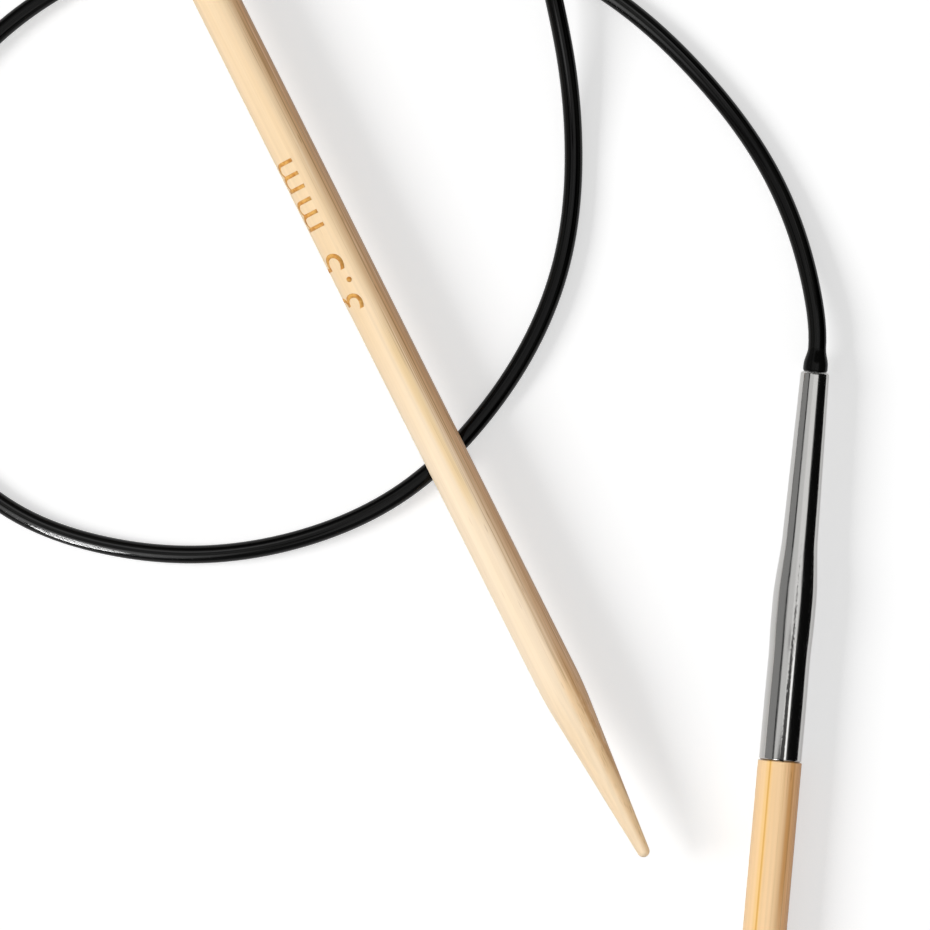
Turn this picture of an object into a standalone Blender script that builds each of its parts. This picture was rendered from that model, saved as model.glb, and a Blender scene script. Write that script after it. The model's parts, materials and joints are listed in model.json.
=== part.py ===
"""Circular knitting needle: two bamboo tips joined by one flexible cord.

Each tip is a turned bamboo shaft whose tenon is glued into a drawn metal ferrule.
A headed pin is caught behind the ferrule's mouth and holds a bell-shaped collar on
the cord's end, so each tip spins freely on the cord.

Units are metres and +Z is up. The needle lies on a table top at Z = 0: the right tip
on the table itself, and the left tip across two strands of the cord.
"""

import math

import bpy
import numpy as np
from mathutils import Vector

MM = 0.001

# Bamboo shafts
SHAFT_RADIUS = 1.75 * MM
SHAFT_LENGTH = 99.0 * MM
POINT_LENGTH = 14.6 * MM
POINT_SOFTENING = 1.5 * MM
NOSE_RADIUS = 0.5 * MM
SHOULDER_CHAMFER = 0.06 * MM
TENON_CHAMFER = 0.25 * MM
TENON_END_GAP = 1.2 * MM
GLUE_GAP = 0.04 * MM

# Ferrules, measured from the mouth that faces the cord
NECK_LENGTH = 12.8 * MM
SWAGE_LENGTH = 5.4 * MM
BARREL_LENGTH = 12.8 * MM
MOUTH_RADIUS = 1.15 * MM
NECK_END_RADIUS = 1.42 * MM
RIDGE_LENGTH = 1.5 * MM
WAIST_DISTANCE = 4.6 * MM
WAIST_DEPTH = 0.07 * MM
SKIRT_LENGTH = 3.8 * MM
SKIRT_STEP = 0.045 * MM
WALL = 0.25 * MM
LIP_THICKNESS = 0.5 * MM
LIP_ROUND = 0.22 * MM

# Swivel pins
PIN_NECK_RADIUS = 0.48 * MM
PIN_HEAD_THICKNESS = 0.6 * MM
PIN_HEAD_CHAMFER = 0.12 * MM
RUNNING_CLEARANCE = 0.06 * MM
END_PLAY = 0.06 * MM

# Cord and its collars
CORD_RADIUS = 0.725 * MM
CORD_WALL = 0.3 * MM
CORD_STEP = 4.3 * MM
COLLAR_GAP = 0.1 * MM
COLLAR_RADIUS = 0.98 * MM
COLLAR_RIM = 0.55 * MM
COLLAR_FLARE = 1.25 * MM
COLLAR_ROUND = 0.12 * MM
COLLAR_CAP = 0.4 * MM
BUTT_GAP = 0.15 * MM

# How the needle lies
TABLE_GAP = 0.015 * MM
SEAT_GAP = 0.3 * MM
CROSSING_GAP = 0.6 * MM
LEFT_MOUTH_X = -35.9 * MM
LEFT_MOUTH_Y = 102.95 * MM
LEFT_HEADING = math.radians(26.6)
RIGHT_MOUTH_X = 35.77 * MM
RIGHT_MOUTH_Y = 25.09 * MM
RIGHT_HEADING = math.radians(-5.15)

# Facets: 30 sides put a flat facet straight under a lying shaft
SIDES = 30
FINE_SIDES = 22
CURVE_STEPS = 6
CORD_BEVEL_STEPS = 2
ROUTE_SAMPLES = 40
MERGE_DISTANCE = 0.001 * MM
AXIS_MARK = 5.0 * MM

# Measuring the cord's gap to itself: points a step, and how much of it counts as neighbour
GAP_SAMPLES = 16
NEIGHBOUR_RUN = 9.0 * MM

# What follows from the sizes above
FERRULE_LENGTH = NECK_LENGTH + SWAGE_LENGTH + BARREL_LENGTH
WAIST_RADIUS = SHAFT_RADIUS - WAIST_DEPTH
BORE_RADIUS = WAIST_RADIUS - WALL
TENON_RADIUS = BORE_RADIUS - GLUE_GAP
MOUTH_CAVITY_RADIUS = MOUTH_RADIUS - WALL
PIN_HOLE_RADIUS = PIN_NECK_RADIUS + RUNNING_CLEARANCE
PIN_HEAD_RADIUS = MOUTH_CAVITY_RADIUS - RUNNING_CLEARANCE
COLLAR_BORE_RADIUS = CORD_RADIUS - CORD_WALL
PIN_TAIL_RADIUS = COLLAR_BORE_RADIUS - GLUE_GAP
COLLAR_LENGTH = COLLAR_RIM + COLLAR_FLARE
COLLAR_TOP = COLLAR_GAP + COLLAR_LENGTH
CORD_LYING_HEIGHT = CORD_RADIUS + TABLE_GAP
LEFT_AXIS_HEIGHT = CORD_LYING_HEIGHT + CORD_RADIUS + SEAT_GAP + SHAFT_RADIUS
RIGHT_AXIS_HEIGHT = SHAFT_RADIUS * math.cos(math.pi / SIDES)
LEFT_RISE = LEFT_AXIS_HEIGHT - CORD_LYING_HEIGHT
RIGHT_RISE = RIGHT_AXIS_HEIGHT - CORD_LYING_HEIGHT
CROSSING_RISE = 2.0 * CORD_RADIUS + CROSSING_GAP


def on_table(x_mm, y_mm, rise=0.0):
    """A point of the cord's centre line, raised above where it lies on the table."""
    return Vector((x_mm * MM, y_mm * MM, CORD_LYING_HEIGHT + rise))


# The cord's way from the right ferrule to the left one: up and over to the left, round
# one loop under the left shaft, over its own first strand, and back in a wide bend.
CORD_ROUTE = [
    on_table(35.4, 32.4, 0.63 * RIGHT_RISE),
    on_table(32.5, 40.3),
    on_table(26.8, 48.4),
    on_table(19.9, 54.6),
    on_table(11.1, 59.3),
    on_table(0.0, 61.6),
    on_table(-11.1, 60.7),
    on_table(-20.5, 57.5),
    on_table(-27.4, 53.3),
    on_table(-33.1, 47.7),
    on_table(-37.1, 40.2),
    on_table(-38.3, 33.4),
    on_table(-37.5, 26.5),
    on_table(-33.5, 18.9),
    on_table(-27.4, 13.8),
    on_table(-21.0, 11.4),
    on_table(-13.1, 10.6),
    on_table(-5.1, 11.9),
    on_table(2.8, 15.5),
    on_table(9.2, 21.4),
    on_table(13.3, 27.7),
    on_table(15.6, 34.0),
    on_table(16.6, 42.7, 0.04 * CROSSING_RISE),
    on_table(16.0, 49.8, 0.5 * CROSSING_RISE),
    on_table(14.3, 58.0, CROSSING_RISE),
    on_table(12.9, 65.7, 0.5 * CROSSING_RISE),
    on_table(11.9, 73.6, 0.04 * CROSSING_RISE),
    on_table(11.0, 82.4),
    on_table(10.1, 91.2),
    on_table(8.7, 99.8),
    on_table(6.0, 109.2),
    on_table(1.8, 118.1),
    on_table(-4.1, 125.2),
    on_table(-12.1, 130.0),
    on_table(-21.4, 131.2),
    on_table(-29.8, 128.5, 0.08 * LEFT_RISE),
    on_table(-35.8, 122.6, 0.35 * LEFT_RISE),
    on_table(-38.7, 114.1, 0.78 * LEFT_RISE),
]


def soft_step(share):
    """Goes from 0 to 1 with level ends."""
    return share * share * (3.0 - 2.0 * share)


def quarter_round(radius, height, size, steps):
    """Points of an outside corner, from the flat end over to the side, going down."""
    angles = [0.5 * math.pi * step / steps for step in range(steps + 1)]
    centre_radius = radius - size
    centre_height = height - size
    return [
        (centre_radius + size * math.sin(angle), centre_height + size * math.cos(angle))
        for angle in angles
    ]


def shaft_profile():
    """Half outline of a shaft: tenon, shoulder, straight run, cone and round nose."""
    shoulder = -FERRULE_LENGTH - GLUE_GAP
    tip = shoulder - SHAFT_LENGTH
    tenon_end = -NECK_LENGTH - SWAGE_LENGTH - TENON_END_GAP
    cone_top = tip + POINT_LENGTH
    cone_slope = (SHAFT_RADIUS - NOSE_RADIUS) / (POINT_LENGTH - NOSE_RADIUS)
    points = [
        (0.0, tenon_end),
        (TENON_RADIUS - TENON_CHAMFER, tenon_end),
        (TENON_RADIUS, tenon_end - TENON_CHAMFER),
        (TENON_RADIUS, shoulder),
        (SHAFT_RADIUS - SHOULDER_CHAMFER, shoulder),
        (SHAFT_RADIUS, shoulder - SHOULDER_CHAMFER),
    ]
    for step in range(CURVE_STEPS + 1):
        share = step / CURVE_STEPS
        radius = SHAFT_RADIUS - cone_slope * POINT_SOFTENING * share * share
        points.append((radius, cone_top + POINT_SOFTENING * (1.0 - 2.0 * share)))
    for step in range(CURVE_STEPS):
        angle = 0.5 * math.pi * step / CURVE_STEPS
        points.append((NOSE_RADIUS * math.cos(angle), tip + NOSE_RADIUS * (1.0 - math.sin(angle))))
    points.append((0.0, tip))
    return points


def ferrule_profile():
    """Closed half section of a ferrule: down its outside, then up its bore."""
    swage_top = -NECK_LENGTH
    barrel_top = swage_top - SWAGE_LENGTH
    skirt = -FERRULE_LENGTH
    skirt_radius = SHAFT_RADIUS - SKIRT_STEP
    outside = quarter_round(MOUTH_RADIUS, 0.0, LIP_ROUND, CURVE_STEPS // 2)
    inside = [(PIN_HOLE_RADIUS, 0.0), (PIN_HOLE_RADIUS, -LIP_THICKNESS)]
    inside.append((MOUTH_CAVITY_RADIUS, -LIP_THICKNESS))
    for step in range(CURVE_STEPS + 1):
        share = step / CURVE_STEPS
        height = swage_top - SWAGE_LENGTH * share
        spread = soft_step(share)
        outside.append((NECK_END_RADIUS + (SHAFT_RADIUS - NECK_END_RADIUS) * spread, height))
        throat = NECK_END_RADIUS - WALL
        inside.append((throat + (BORE_RADIUS - throat) * spread, height))
    outside.append((SHAFT_RADIUS, barrel_top - RIDGE_LENGTH))
    outside.append((WAIST_RADIUS, barrel_top - WAIST_DISTANCE))
    outside.append((skirt_radius, skirt + SKIRT_LENGTH))
    outside.append((skirt_radius, skirt))
    inside.append((BORE_RADIUS, skirt))
    return outside + inside[::-1]


def pin_profile():
    """Half outline of a swivel pin: tail in the collar, neck in the mouth, head inside."""
    tail_end = COLLAR_TOP - COLLAR_CAP - GLUE_GAP
    neck_end = COLLAR_GAP - GLUE_GAP
    head_top = -LIP_THICKNESS - END_PLAY
    head_end = head_top - PIN_HEAD_THICKNESS
    return [
        (0.0, tail_end),
        (PIN_TAIL_RADIUS, tail_end),
        (PIN_TAIL_RADIUS, neck_end),
        (PIN_NECK_RADIUS, neck_end),
        (PIN_NECK_RADIUS, head_top),
        (PIN_HEAD_RADIUS, head_top),
        (PIN_HEAD_RADIUS, head_end + PIN_HEAD_CHAMFER),
        (PIN_HEAD_RADIUS - PIN_HEAD_CHAMFER, head_end),
        (0.0, head_end),
    ]


def collar_profile():
    """Half section of a collar: cord end, flare and rim outside, blind bore inside."""
    rim_top = COLLAR_GAP + COLLAR_RIM
    points = [(0.0, COLLAR_TOP)]
    for step in range(CURVE_STEPS + 1):
        share = step / CURVE_STEPS
        radius = CORD_RADIUS + (COLLAR_RADIUS - CORD_RADIUS) * soft_step(share)
        points.append((radius, COLLAR_TOP + (rim_top - COLLAR_TOP) * share))
    points.append((COLLAR_RADIUS, COLLAR_GAP + COLLAR_ROUND))
    points.append((COLLAR_RADIUS - COLLAR_ROUND, COLLAR_GAP))
    points.append((COLLAR_BORE_RADIUS, COLLAR_GAP))
    points.append((COLLAR_BORE_RADIUS, COLLAR_TOP - COLLAR_CAP))
    points.append((0.0, COLLAR_TOP - COLLAR_CAP))
    return points


def smooth_curve(points, start_direction, end_direction, samples):
    """Evenly spaced points of the smooth curve through points with the given end directions."""
    knots = np.array([tuple(point) for point in points])
    spans = np.linalg.norm(np.diff(knots, axis=0), axis=1)
    count = len(knots)
    matrix = np.eye(count)
    slopes = np.zeros((count, 3))
    slopes[0] = start_direction
    slopes[-1] = end_direction
    for index in range(1, count - 1):
        before, after = spans[index - 1], spans[index]
        matrix[index, index - 1] = after
        matrix[index, index] = 2.0 * (before + after)
        matrix[index, index + 1] = before
        step_in = (knots[index] - knots[index - 1]) / before
        step_out = (knots[index + 1] - knots[index]) / after
        slopes[index] = 3.0 * (after * step_in + before * step_out)
    tangents = np.linalg.solve(matrix, slopes)
    dense = []
    for index in range(count - 1):
        for share in np.linspace(0.0, 1.0, ROUTE_SAMPLES, endpoint=False):
            ease = soft_step(share)
            leave = share * (1.0 - share) ** 2 * spans[index]
            arrive = share * share * (1.0 - share) * spans[index]
            straight = knots[index] + (knots[index + 1] - knots[index]) * ease
            dense.append(straight + leave * tangents[index] - arrive * tangents[index + 1])
    dense.append(knots[-1])
    dense = np.array(dense)
    dense[:, 2] = np.maximum(dense[:, 2], CORD_LYING_HEIGHT)
    run = np.concatenate([[0.0], np.cumsum(np.linalg.norm(np.diff(dense, axis=0), axis=1))])
    even = np.linspace(0.0, run[-1], samples)
    return np.column_stack([np.interp(even, run, dense[:, axis]) for axis in range(3)]), run[-1]


def least_gap(points, radius):
    """Smallest gap between strands of a tube, skipping neighbours along the tube."""
    shares = np.linspace(0.0, 1.0, GAP_SAMPLES, endpoint=False)
    fine = []
    for start, end in zip(points[:-1], points[1:]):
        fine.extend(start + (end - start) * share for share in shares)
    fine = np.array(fine)
    run = np.concatenate([[0.0], np.cumsum(np.linalg.norm(np.diff(fine, axis=0), axis=1))])
    gaps = np.linalg.norm(fine[:, None] - fine[None, :], axis=2)
    gaps[np.abs(run[:, None] - run[None, :]) < NEIGHBOUR_RUN] = np.inf
    return gaps.min() - 2.0 * radius


def make_material(name, colour, roughness, metallic=0.0):
    material = bpy.data.materials.new(name)
    material.use_nodes = True
    shader = material.node_tree.nodes["Principled BSDF"]
    shader.inputs["Base Color"].default_value = (*colour, 1.0)
    shader.inputs["Roughness"].default_value = roughness
    shader.inputs["Metallic"].default_value = metallic
    return material


def add_axis(name, mouth, heading):
    """Empty at a ferrule's mouth whose Z axis points out along the cord."""
    empty = bpy.data.objects.new(name, None)
    empty.empty_display_size = AXIS_MARK
    empty.location = mouth
    empty.rotation_euler = (-0.5 * math.pi, 0.0, heading)
    parts.objects.link(empty)
    return empty


def add_turned(name, profile, closed, sides, material, axis):
    """Turned piece on an axis empty, from its half outline in (radius, height) points."""
    last = len(profile) - 1
    edges = [(index, index + 1) for index in range(last)]
    if closed:
        edges.append((last, 0))
    mesh = bpy.data.meshes.new(name)
    mesh.from_pydata([(radius, 0.0, height) for radius, height in profile], edges, [])
    mesh.materials.append(material)
    piece = bpy.data.objects.new(name, mesh)
    parts.objects.link(piece)
    piece.parent = axis
    turn = piece.modifiers.new("Turning", "SCREW")
    turn.axis = "Z"
    turn.steps = sides
    turn.render_steps = sides
    turn.use_merge_vertices = True
    turn.merge_threshold = MERGE_DISTANCE
    turn.use_smooth_shade = True
    return piece


def add_cord(name, points, material):
    curve = bpy.data.curves.new(name, "CURVE")
    curve.dimensions = "3D"
    curve.bevel_depth = CORD_RADIUS
    curve.bevel_resolution = CORD_BEVEL_STEPS
    curve.use_fill_caps = True
    spline = curve.splines.new("POLY")
    spline.points.add(len(points) - 1)
    for target, point in zip(spline.points, points):
        target.co = (*point, 1.0)
    curve.materials.append(material)
    cord = bpy.data.objects.new(name, curve)
    parts.objects.link(cord)
    return cord


for old in list(bpy.data.objects):
    bpy.data.objects.remove(old, do_unlink=True)
parts = bpy.data.collections.new("circular_knitting_needle")
bpy.context.scene.collection.children.link(parts)

bamboo = make_material("Bamboo", (0.83, 0.60, 0.33), 0.42)
nickel = make_material("Nickel plate", (0.66, 0.65, 0.62), 0.12, 1.0)
steel = make_material("Pin steel", (0.52, 0.52, 0.53), 0.3, 1.0)
collar_plastic = make_material("Collar plastic", (0.012, 0.012, 0.013), 0.35)
cord_plastic = make_material("Cord plastic", (0.008, 0.008, 0.009), 0.28)

# The two tips, with the pin and collar that stay with the cord
cord_ends = {}
for side, mouth, heading in (
    ("left", Vector((LEFT_MOUTH_X, LEFT_MOUTH_Y, LEFT_AXIS_HEIGHT)), LEFT_HEADING),
    ("right", Vector((RIGHT_MOUTH_X, RIGHT_MOUTH_Y, RIGHT_AXIS_HEIGHT)), RIGHT_HEADING),
):
    swivel = add_axis(f"{side}_swivel_axis", mouth, heading)
    add_turned(f"{side}_bamboo_shaft", shaft_profile(), False, SIDES, bamboo, swivel)
    add_turned(f"{side}_ferrule", ferrule_profile(), True, SIDES, nickel, swivel)
    add_turned(f"{side}_swivel_pin", pin_profile(), False, FINE_SIDES, steel, swivel)
    add_turned(f"{side}_cord_collar", collar_profile(), False, FINE_SIDES, collar_plastic, swivel)
    outward = Vector((-math.sin(heading), math.cos(heading), 0.0))
    cord_ends[side] = (mouth + outward * (COLLAR_TOP + BUTT_GAP), outward)

# The cord, from collar to collar
right_end, right_out = cord_ends["right"]
left_end, left_out = cord_ends["left"]
route = [right_end, *CORD_ROUTE, left_end]
route_run = sum((after - before).length for before, after in zip(route[:-1], route[1:]))
cord_points, cord_length = smooth_curve(route, right_out, -left_out, round(route_run / CORD_STEP) + 1)
add_cord("cord", cord_points, cord_plastic)

print(f"cord: {cord_length / MM:.1f} mm long on {len(cord_points)} points,"
      f" least gap to itself {least_gap(cord_points, CORD_RADIUS) / MM:.2f} mm")
tip_reach = COLLAR_TOP + BUTT_GAP + FERRULE_LENGTH + GLUE_GAP + SHAFT_LENGTH
print(f"point to point: {(cord_length + 2.0 * tip_reach) / MM:.1f} mm")
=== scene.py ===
import json
import math

import bpy
import numpy as np
from mathutils import Matrix, Vector


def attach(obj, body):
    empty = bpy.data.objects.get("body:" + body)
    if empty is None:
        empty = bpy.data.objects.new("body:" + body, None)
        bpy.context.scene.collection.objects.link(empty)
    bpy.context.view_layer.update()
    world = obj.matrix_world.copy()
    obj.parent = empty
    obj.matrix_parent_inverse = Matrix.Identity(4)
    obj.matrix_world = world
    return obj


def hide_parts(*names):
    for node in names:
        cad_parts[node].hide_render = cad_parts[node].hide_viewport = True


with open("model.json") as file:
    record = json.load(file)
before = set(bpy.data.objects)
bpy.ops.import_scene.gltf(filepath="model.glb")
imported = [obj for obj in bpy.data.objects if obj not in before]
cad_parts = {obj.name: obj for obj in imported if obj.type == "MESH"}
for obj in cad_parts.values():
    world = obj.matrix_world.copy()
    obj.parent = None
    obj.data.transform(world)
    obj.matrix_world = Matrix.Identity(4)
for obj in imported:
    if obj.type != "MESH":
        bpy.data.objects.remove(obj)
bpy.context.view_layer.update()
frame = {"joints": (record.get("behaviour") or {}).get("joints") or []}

# Cord: one soft tube of black nylon, extruded through a round die and pushed into a collar
# at each end. It lies on the table in one loose loop, passes over its own first strand in
# a long low hump, and climbs a little at both ends to meet the two tips.
MM = 0.001
CORD_LENGTH = 336.0 * MM
CORD_RADIUS = 0.725 * MM
CORD_STEP = 0.8 * MM
CORD_BEVEL = 10
ROUTE_SAMPLES = 40
COLLAR_TOP = 1.9 * MM
CORD_SEAT = 0.25 * MM
LYING = 0.00074
CORD_ROUTE = [
    (0.0356, 0.0312, 0.00146),
    (0.03255, 0.0404, LYING),
    (0.02685, 0.04845, LYING),
    (0.0200, 0.0547, LYING),
    (0.0111, 0.0593, LYING),
    (0.0000, 0.0616, LYING),
    (-0.0111, 0.0607, LYING),
    (-0.0205, 0.0575, LYING),
    (-0.0275, 0.0534, LYING),
    (-0.0331, 0.0477, LYING),
    (-0.0371, 0.0402, LYING),
    (-0.0383, 0.0334, LYING),
    (-0.0375, 0.0265, LYING),
    (-0.0335, 0.0189, LYING),
    (-0.02745, 0.01375, LYING),
    (-0.0210, 0.0114, LYING),
    (-0.0131, 0.0106, LYING),
    (-0.0051, 0.01185, LYING),
    (0.00285, 0.01545, LYING),
    (0.0092, 0.0214, LYING),
    (0.01335, 0.0277, LYING),
    (0.0157, 0.0340, LYING),
    (0.0166, 0.0427, 0.00082),
    (0.0160, 0.0498, 0.00177),
    (0.0143, 0.0580, 0.00279),
    (0.0129, 0.0657, 0.00177),
    (0.0119, 0.0736, 0.00082),
    (0.0110, 0.0824, LYING),
    (0.0101, 0.0912, LYING),
    (0.0087, 0.0998, LYING),
    (0.0060, 0.1092, LYING),
    (0.0018, 0.1181, LYING),
    (-0.0041, 0.1252, LYING),
    (-0.0121, 0.1300, LYING),
    (-0.0214, 0.1312, LYING),
    (-0.0298, 0.1285, 0.00096),
    (-0.0358, 0.1226, 0.00171),
    (-0.0387, 0.1141, 0.00290),
]

swivels = {}
for joint in frame["joints"]:
    side = joint["child"].removesuffix("_tip")
    swivels[side] = (Vector(joint["pos_m"]), Vector(joint["axis"]).normalized())


def soft_step(share):
    """Goes from 0 to 1 with level ends."""
    return share * share * (3.0 - 2.0 * share)


def smooth_route(points, start_direction, end_direction, step):
    """Even points, a step apart, of the smooth curve through points with the given end directions."""
    knots = np.array([tuple(point) for point in points])
    spans = np.linalg.norm(np.diff(knots, axis=0), axis=1)
    count = len(knots)
    matrix = np.eye(count)
    slopes = np.zeros((count, 3))
    slopes[0] = start_direction
    slopes[-1] = end_direction
    for index in range(1, count - 1):
        before, after = spans[index - 1], spans[index]
        matrix[index, index - 1] = after
        matrix[index, index] = 2.0 * (before + after)
        matrix[index, index + 1] = before
        step_in = (knots[index] - knots[index - 1]) / before
        step_out = (knots[index + 1] - knots[index]) / after
        slopes[index] = 3.0 * (after * step_in + before * step_out)
    tangents = np.linalg.solve(matrix, slopes)
    dense = []
    for index in range(count - 1):
        for share in np.linspace(0.0, 1.0, ROUTE_SAMPLES, endpoint=False):
            leave = share * (1.0 - share) ** 2 * spans[index]
            arrive = share * share * (1.0 - share) * spans[index]
            straight = knots[index] + (knots[index + 1] - knots[index]) * soft_step(share)
            dense.append(straight + leave * tangents[index] - arrive * tangents[index + 1])
    dense.append(knots[-1])
    dense = np.array(dense)
    dense[:, 2] = np.maximum(dense[:, 2], LYING)
    run = np.concatenate([[0.0], np.cumsum(np.linalg.norm(np.diff(dense, axis=0), axis=1))])
    even = np.linspace(0.0, run[-1], round(run[-1] / step) + 1)
    return np.column_stack([np.interp(even, run, dense[:, axis]) for axis in range(3)])


def linear(hex_colour):
    """Linear colour with alpha from an sRGB hex value."""
    shares = [int(hex_colour[start:start + 2], 16) / 255.0 for start in (1, 3, 5)]
    return [s / 12.92 if s <= 0.04045 else ((s + 0.055) / 1.055) ** 2.4 for s in shares] + [1.0]


def add_node(tree, kind, inputs, **settings):
    """Adds a node with its settings, and sets or links its inputs by name or number."""
    node = tree.nodes.new(kind)
    for name, value in settings.items():
        setattr(node, name, value)
    for socket, value in inputs.items():
        if isinstance(value, bpy.types.NodeSocket):
            tree.links.new(value, node.inputs[socket])
        else:
            node.inputs[socket].default_value = value
    return node


def new_material(name):
    """An empty node material, with its tree and its Principled shader."""
    material = bpy.data.materials.new(name)
    material.use_nodes = True
    tree = material.node_tree
    return material, tree, tree.nodes["Principled BSDF"]


# Extruded nylon: jet black and glossy. The die leaves faint lighter lines along it, and its
# skin is a little duller in cloudy patches.
DIE_LINES_AROUND = 9.0
DIE_LINE_RUN = 60.0 * MM
DIE_LINE_DEPTH = 0.002 * MM
DIE_LINE_RELIEF = 0.02
DIE_LINE_NONE = 0.42
DIE_LINE_FULL = 0.62
SKIN_PATCH = 3.0 * MM
SKIN_SHINIEST = 0.05
SKIN_DULLEST = 0.09
NYLON_IOR = 1.53
NYLON_SPECULAR = 0.12
nylon, tree, shader = new_material("Extruded black nylon")
surface = add_node(tree, "ShaderNodeUVMap", {}, uv_map="UVMap")
along = add_node(tree, "ShaderNodeSeparateXYZ", {0: surface.outputs[0]})
angle = add_node(tree, "ShaderNodeMath", {0: along.outputs[0], 1: math.tau}, operation="MULTIPLY")
sine = add_node(tree, "ShaderNodeMath", {0: angle.outputs[0]}, operation="SINE")
cosine = add_node(tree, "ShaderNodeMath", {0: angle.outputs[0]}, operation="COSINE")
lengths = add_node(tree, "ShaderNodeMath", {0: along.outputs[1], 1: CORD_LENGTH / DIE_LINE_RUN},
                   operation="MULTIPLY")
ring = add_node(tree, "ShaderNodeCombineXYZ",
                {0: sine.outputs[0], 1: cosine.outputs[0], 2: lengths.outputs[0]})
die_lines = add_node(tree, "ShaderNodeTexNoise",
                     {"Vector": ring.outputs[0], "Scale": DIE_LINES_AROUND / 2.0, "Detail": 0.0})
place = add_node(tree, "ShaderNodeTexCoord", {})
patches = add_node(tree, "ShaderNodeTexNoise",
                   {"Vector": place.outputs["Object"], "Scale": 1.0 / SKIN_PATCH, "Detail": 1.0})
dullness = add_node(tree, "ShaderNodeMapRange",
                    {0: patches.outputs[0], 3: SKIN_SHINIEST, 4: SKIN_DULLEST})
threads = add_node(tree, "ShaderNodeMapRange",
                   {0: die_lines.outputs[0], 1: DIE_LINE_NONE, 2: DIE_LINE_FULL})
tint = add_node(tree, "ShaderNodeMix",
                {0: threads.outputs[0], 6: linear("#020202"), 7: linear("#0E0E0D")}, data_type="RGBA")
relief = add_node(tree, "ShaderNodeBump",
                  {"Strength": DIE_LINE_RELIEF, "Distance": DIE_LINE_DEPTH, "Height": die_lines.outputs[0]})
tree.links.new(tint.outputs[2], shader.inputs["Base Color"])
tree.links.new(dullness.outputs[0], shader.inputs["Roughness"])
tree.links.new(relief.outputs[0], shader.inputs["Normal"])
shader.inputs["IOR"].default_value = NYLON_IOR
shader.inputs["Specular IOR Level"].default_value = NYLON_SPECULAR

right_mouth, right_out = swivels["right"]
left_mouth, left_out = swivels["left"]
cord_start = right_mouth + right_out * (COLLAR_TOP - CORD_SEAT)
cord_end = left_mouth + left_out * (COLLAR_TOP - CORD_SEAT)
cord_points = smooth_route([cord_start, *CORD_ROUTE, cord_end], right_out, -left_out, CORD_STEP)
cord_curve = bpy.data.curves.new("nylon_cord", "CURVE")
cord_curve.dimensions = "3D"
cord_curve.bevel_depth = CORD_RADIUS
cord_curve.bevel_resolution = CORD_BEVEL
cord_curve.use_fill_caps = True
strand = cord_curve.splines.new("POLY")
strand.points.add(len(cord_points) - 1)
for target, point in zip(strand.points, cord_points):
    target.co = (*point, 1.0)
cord = bpy.data.objects.new("nylon_cord", cord_curve)
bpy.context.scene.collection.objects.link(cord)
bpy.ops.object.select_all(action="DESELECT")
bpy.context.view_layer.objects.active = cord
cord.select_set(True)
bpy.ops.object.convert(target="MESH")
cord.data.materials.append(nylon)
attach(cord, "cord")
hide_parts("cord")


# Collars: a small bell of black plastic on each end of the cord, moulded round the swivel
# pin's tail. It flares from the cord's own thickness to a rounded rim, and a low boss under
# the rim runs a hair's breadth clear of the ferrule's mouth.
COLLAR_GAP = 0.1 * MM
COLLAR_RADIUS = 0.98 * MM
COLLAR_RIM = 0.45 * MM
COLLAR_ROUND = 0.06 * MM
COLLAR_BORE = 0.425 * MM
COLLAR_CAP = 0.4 * MM
BOSS_RADIUS = 0.92 * MM
BOSS_GAP = 0.02 * MM
PIN_CLEARANCE = 0.5 * MM
COLLAR_SIDES = 48
CURVE_STEPS = 10
MERGE_DISTANCE = 0.002 * MM
SMOOTH_ANGLE_DEG = 35.0


def turn(name, outline, sides):
    """Draws half an outline point by point, as radius and height, and spins it round Z."""
    bpy.ops.object.select_all(action="DESELECT")
    bpy.ops.mesh.primitive_plane_add(size=MM, location=(0.0, 0.0, 0.0))
    piece = bpy.context.object
    piece.name = name
    piece.data.name = name
    bpy.ops.object.mode_set(mode="EDIT")
    bpy.ops.mesh.merge(type="CENTER")
    pen_radius, pen_height = outline[0]
    bpy.ops.transform.translate(value=(pen_radius, 0.0, pen_height))
    for radius, height in outline[1:]:
        stroke = (radius - pen_radius, 0.0, height - pen_height)
        bpy.ops.mesh.extrude_region_move(TRANSFORM_OT_translate={"value": stroke})
        pen_radius, pen_height = radius, height
    bpy.ops.mesh.select_all(action="SELECT")
    bpy.ops.mesh.spin(steps=sides, angle=math.tau, center=(0.0, 0.0, 0.0), axis=(0.0, 0.0, 1.0))
    bpy.ops.mesh.select_all(action="SELECT")
    bpy.ops.mesh.remove_doubles(threshold=MERGE_DISTANCE)
    bpy.ops.mesh.normals_make_consistent(inside=False)
    bpy.ops.object.mode_set(mode="OBJECT")
    bpy.ops.object.shade_smooth_by_angle(angle=math.radians(SMOOTH_ANGLE_DEG))
    return piece


def lay_at_mouth(piece, side):
    """Lays an upright turned piece along its tip, with its zero height at the ferrule's mouth."""
    mouth, outward = swivels[side]
    turned = outward.to_track_quat("Z", "Y").to_matrix().to_4x4()
    piece.matrix_world = Matrix.Translation(mouth) @ turned
    bpy.ops.object.transform_apply(location=True, rotation=True, scale=True)


def quarter_round(radius, height, size, turn_from, turn_to):
    """Points of a rounded corner about a centre, from one angle to another, 0 being outwards."""
    angles = np.linspace(math.radians(turn_from), math.radians(turn_to), CURVE_STEPS)
    return [(radius + size * math.cos(a), height + size * math.sin(a)) for a in angles]


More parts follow.
